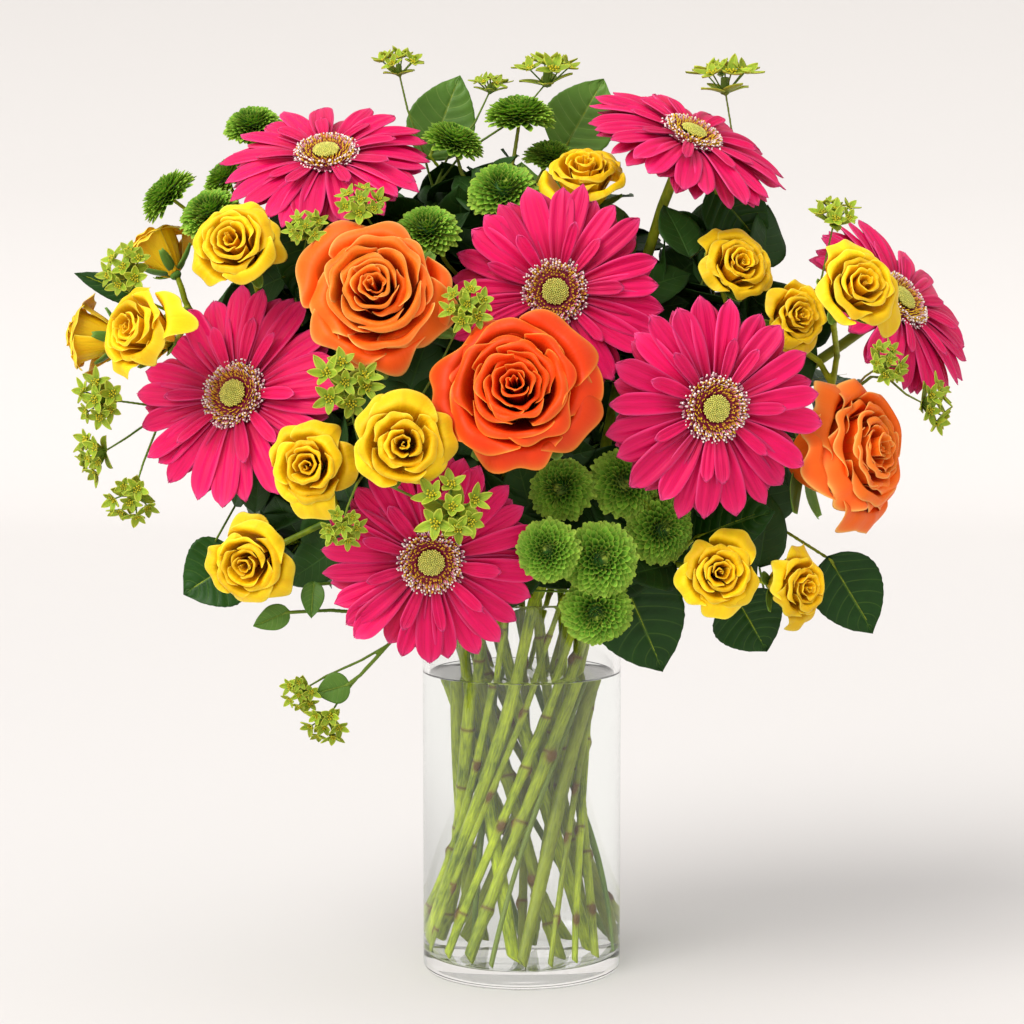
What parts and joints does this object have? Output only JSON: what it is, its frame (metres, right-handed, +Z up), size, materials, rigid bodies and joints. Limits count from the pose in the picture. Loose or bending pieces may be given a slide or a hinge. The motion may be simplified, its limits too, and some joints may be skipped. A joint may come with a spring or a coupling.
{
  "type": "vase of cut flowers",
  "caption": "Mixed bouquet of pink gerberas, orange roses, yellow spray roses, green button mums and foliage in a clear glass cylinder vase with water",
  "frame": {"origin": "centre of the flat underside of the vase", "axes": "+Z up along the vase's axis, -Y towards the front of the bouquet, +X to the right as seen from the front"},
  "size_m": [0.4581, 0.2567, 0.4684],
  "materials": {
    "clear_glass": "clear, polished",
    "water": null,
    "gerbera_petals": "matte, soft, magenta pink",
    "orange_petals": "matte, soft, orange",
    "yellow_petals": "matte, soft, golden yellow",
    "button_mum": "matte, fresh green",
    "bupleurum": "matte, yellow green",
    "salal_leaf": "satin, dark green",
    "stem": "satin, light green"
  },
  "bodies": {
    "root": {"bupleurum_front": "bupleurum", "bupleurum_left": "bupleurum", "bupleurum_low_left": "bupleurum", "bupleurum_right": "bupleurum", "bupleurum_top": "bupleurum", "button_mum_left": "button_mum", "button_mum_low": "button_mum", "button_mum_top": "button_mum", "gerbera_1_head": "gerbera_petals", "gerbera_1_stem": "stem", "gerbera_2_head": "gerbera_petals", "gerbera_2_stem": "stem", "gerbera_3_head": "gerbera_petals", "gerbera_3_stem": "stem", "gerbera_4_head": "gerbera_petals", "gerbera_4_stem": "stem", "gerbera_5_head": "gerbera_petals", "gerbera_5_stem": "stem", "gerbera_6_head": "gerbera_petals", "gerbera_6_stem": "stem", "gerbera_7_head": "gerbera_petals", "gerbera_7_stem": "stem", "orange_rose_1_head": "orange_petals", "orange_rose_1_stem": "stem", "orange_rose_2_head": "orange_petals", "orange_rose_2_stem": "stem", "orange_rose_3_head": "orange_petals", "orange_rose_3_stem": "stem", "salal_left": "salal_leaf", "salal_low": "salal_leaf", "salal_right": "salal_leaf", "salal_top": "salal_leaf", "vase": "clear_glass", "water": "water", "yellow_rose_left_bloom_1": "yellow_petals", "yellow_rose_left_bloom_2": "yellow_petals", "yellow_rose_left_bloom_3": "yellow_petals", "yellow_rose_left_bloom_4": "yellow_petals", "yellow_rose_left_stem": "stem", "yellow_rose_low_left_bloom_1": "yellow_petals", "yellow_rose_low_left_bloom_2": "yellow_petals", "yellow_rose_low_left_bloom_3": "yellow_petals", "yellow_rose_low_left_stem": "stem", "yellow_rose_low_right_bloom_1": "yellow_petals", "yellow_rose_low_right_bloom_2": "yellow_petals", "yellow_rose_low_right_stem": "stem", "yellow_rose_right_bloom_1": "yellow_petals", "yellow_rose_right_bloom_2": "yellow_petals", "yellow_rose_right_bloom_3": "yellow_petals", "yellow_rose_right_stem": "stem", "yellow_rose_top_bloom_1": "yellow_petals", "yellow_rose_top_stem": "stem"}
  },
  "joints": []
}
